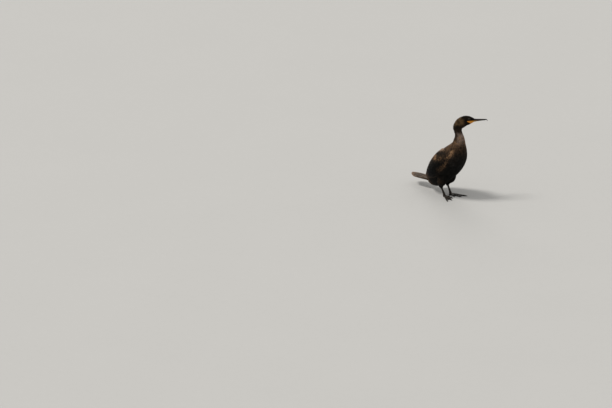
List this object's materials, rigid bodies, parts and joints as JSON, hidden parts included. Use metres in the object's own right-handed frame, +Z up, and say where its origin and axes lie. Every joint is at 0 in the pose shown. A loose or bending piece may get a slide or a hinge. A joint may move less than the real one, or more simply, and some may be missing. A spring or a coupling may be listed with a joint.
{
  "type": "cormorant",
  "caption": "Life-size still model of a young cormorant standing upright with folded wings, its head turned to its left and its tail held level behind.",
  "frame": {"origin": "on the floor under the middle of the model's bounding box", "axes": "+X is the way the body faces, from tail to breast; +Y is the bird's left, the side its head is turned to; +Z is up"},
  "size_m": [0.416, 0.1834, 0.3906],
  "materials": {
    "torso_feathers": "soft matte plumage",
    "neck_feathers": "soft matte plumage",
    "head_feathers": "soft matte plumage",
    "bare_throat": "satin bare skin",
    "bill_horn_dark": "satin horn",
    "bill_horn_pale": "satin horn",
    "eye_dark": "polished",
    "wing_feathers": "satin feather vanes",
    "tail_feathers": "satin feather vanes",
    "thigh_feathers": "soft matte plumage",
    "leg_scales": "satin scaled skin"
  },
  "bodies": {
    "root": {"torso": "torso_feathers", "neck": "neck_feathers", "head": "head_feathers", "gular_pouch": "bare_throat", "bill_upper": "bill_horn_dark", "bill_lower": "bill_horn_pale", "eye_right": "eye_dark", "eye_left": "eye_dark", "wing_right": "wing_feathers", "wing_left": "wing_feathers", "tail": "tail_feathers", "thigh_right": "thigh_feathers", "thigh_left": "thigh_feathers", "shank_right": "leg_scales", "shank_left": "leg_scales", "foot_right": "leg_scales", "foot_left": "leg_scales"}
  },
  "joints": []
}
